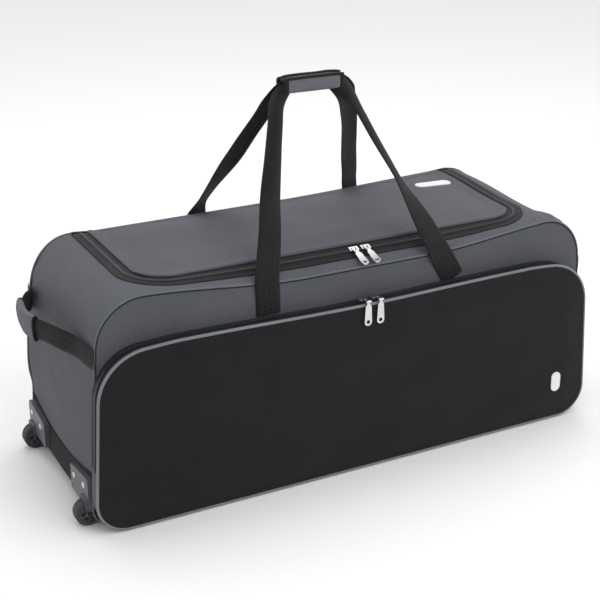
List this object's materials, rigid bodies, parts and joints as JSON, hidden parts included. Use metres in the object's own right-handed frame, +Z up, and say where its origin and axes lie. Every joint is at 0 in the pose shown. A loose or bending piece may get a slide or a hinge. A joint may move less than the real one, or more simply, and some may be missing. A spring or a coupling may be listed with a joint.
{
  "type": "wheeled kit bag",
  "caption": "Long soft holdall with wheels at one end, a zipped lid, a fold-down front pocket, joined carry straps and end grab handles.",
  "frame": {"origin": "middle of the bag's footprint, on the floor", "axes": "+X along the length, away from the wheels; +Y from the front pocket to the back; +Z up"},
  "size_m": [1.157, 0.4108, 0.727],
  "materials": {
    "fabric_grey": "woven polyester, matt",
    "fabric_black": "woven polyester, matt",
    "webbing_black": "ribbed webbing",
    "zip_tape": "woven tape with moulded teeth",
    "piping_grey": "corded edge",
    "grip_fabric": "padded woven",
    "board": "stiffening sheet",
    "guard_plastic": "moulded, fine texture",
    "hub_plastic": "moulded",
    "tyre_rubber": "matt",
    "zip_metal": "polished",
    "steel": "satin",
    "badge": "smooth transfer"
  },
  "bodies": {
    "bag": {"front_panel": "fabric_grey", "back_panel": "fabric_grey", "left_end_panel": "fabric_grey", "right_end_panel": "fabric_grey", "base_panel": "fabric_black", "top_surround": "fabric_grey", "front_piping": "piping_grey", "back_piping": "piping_grey", "body_zip_half": "zip_tape", "zip_end_tabs": "webbing_black", "pocket_gusset": "fabric_grey", "pocket_lower_panel": "fabric_black", "pocket_zip_body_half": "zip_tape", "pocket_lower_piping": "piping_grey", "pocket_badge": "badge", "base_board": "board", "end_board": "board", "runner_front": "guard_plastic", "runner_middle": "guard_plastic", "runner_back": "guard_plastic", "wheel_guard_front": "guard_plastic", "wheel_guard_back": "guard_plastic", "axle_front": "steel", "axle_back": "steel", "rivets": "steel", "rivet_washers": "steel", "strap_patch_front_left": "webbing_black", "strap_patch_front_right": "webbing_black", "strap_patch_back_left": "webbing_black", "strap_patch_back_right": "webbing_black", "end_tabs_left": "webbing_black", "end_tabs_right": "webbing_black"},
    "lid": {"lid_panel": "fabric_grey", "lid_zip_half": "zip_tape", "lid_badge": "badge"},
    "pocket_cover": {"pocket_flap": "fabric_black", "flap_zip_half": "zip_tape", "flap_piping": "piping_grey"},
    "front_handle": {"front_strap": "webbing_black", "grip_wrap": "grip_fabric"},
    "back_handle": {"back_strap": "webbing_black", "grip_closure": "grip_fabric"},
    "left_handle": {"left_handle_web": "webbing_black", "left_handle_pad": "grip_fabric"},
    "right_handle": {"right_handle_web": "webbing_black", "right_handle_pad": "grip_fabric"},
    "front_wheel": {"tyre_front": "tyre_rubber", "hub_front": "hub_plastic"},
    "back_wheel": {"tyre_back": "tyre_rubber", "hub_back": "hub_plastic"},
    "lid_slider_left": {"lid_slider_left": "zip_metal"},
    "lid_slider_right": {"lid_slider_right": "zip_metal"},
    "pocket_slider_left": {"pocket_slider_left": "zip_metal"},
    "pocket_slider_right": {"pocket_slider_right": "zip_metal"},
    "lid_pull_left": {"lid_pull_left": "zip_metal"},
    "lid_pull_right": {"lid_pull_right": "zip_metal"},
    "pocket_pull_left": {"pocket_pull_left": "zip_metal"},
    "pocket_pull_right": {"pocket_pull_right": "zip_metal"}
  },
  "joints": [
    {"name": "lid_open", "type": "hinge", "parent": "bag", "child": "lid", "pos_m": [0, 0.1884, 0.424], "axis": [-1, 0, 0], "range_deg": [0, 110]},
    {"name": "front_handle_drop", "type": "hinge", "parent": "bag", "child": "front_handle", "pos_m": [0, -0.1646, 0.41], "axis": [1, 0, 0], "range_deg": [0, 133]},
    {"name": "back_handle_drop", "type": "hinge", "parent": "bag", "child": "back_handle", "pos_m": [0, 0.2034, 0.43], "axis": [-1, 0, 0], "range_deg": [0, 155]},
    {"name": "pocket_fold", "type": "hinge", "parent": "bag", "child": "pocket_cover", "pos_m": [0, -0.1992, 0.1235], "axis": [1, 0, 0], "range_deg": [0, 80]},
    {"name": "left_handle_lift", "type": "hinge", "parent": "bag", "child": "left_handle", "pos_m": [-0.52928, 0.0194, 0.334], "axis": [0, 1, 0], "range_deg": [0, 55]},
    {"name": "right_handle_lift", "type": "hinge", "parent": "bag", "child": "right_handle", "pos_m": [0.52928, 0.0194, 0.334], "axis": [0, -1, 0], "range_deg": [0, 55]},
    {"name": "front_wheel_spin", "type": "hinge", "parent": "bag", "child": "front_wheel", "pos_m": [-0.531, -0.1386, 0.025], "axis": [0, 1, 0], "continuous": true},
    {"name": "back_wheel_spin", "type": "hinge", "parent": "bag", "child": "back_wheel", "pos_m": [-0.531, 0.1774, 0.025], "axis": [0, 1, 0], "continuous": true},
    {"name": "lid_zip_left", "type": "slide", "parent": "lid", "child": "lid_slider_left", "axis": [-1, 0, 0], "range_m": [0, 0.29]},
    {"name": "pocket_zip_left", "type": "slide", "parent": "pocket_cover", "child": "pocket_slider_left", "axis": [-1, 0, 0], "range_m": [0, 0.35]},
    {"name": "lid_tab_left", "type": "hinge", "parent": "lid_slider_left", "child": "lid_pull_left", "pos_m": [0.012, -0.13208, 0.42052], "axis": [-1, 0, 0], "range_deg": [0, 110]},
    {"name": "pocket_tab_left", "type": "hinge", "parent": "pocket_slider_left", "child": "pocket_pull_left", "pos_m": [-0.001, -0.2028, 0.3476], "axis": [-1, 0, 0], "range_deg": [0, 100]},
    {"name": "lid_zip_right", "type": "slide", "parent": "lid", "child": "lid_slider_right", "axis": [1, 0, 0], "range_m": [0, 0.29]},
    {"name": "pocket_zip_right", "type": "slide", "parent": "pocket_cover", "child": "pocket_slider_right", "axis": [1, 0, 0], "range_m": [0, 0.35]},
    {"name": "lid_tab_right", "type": "hinge", "parent": "lid_slider_right", "child": "lid_pull_right", "pos_m": [0.037, -0.13208, 0.42052], "axis": [-1, 0, 0], "range_deg": [0, 110]},
    {"name": "pocket_tab_right", "type": "hinge", "parent": "pocket_slider_right", "child": "pocket_pull_right", "pos_m": [0.025, -0.2028, 0.3476], "axis": [-1, 0, 0], "range_deg": [0, 100]}
  ],
  "couplings": [
    {"joint": "front_handle_drop", "follows": "lid_open", "ratio": 1.2},
    {"joint": "back_handle_drop", "follows": "lid_open", "ratio": 1.4}
  ]
}
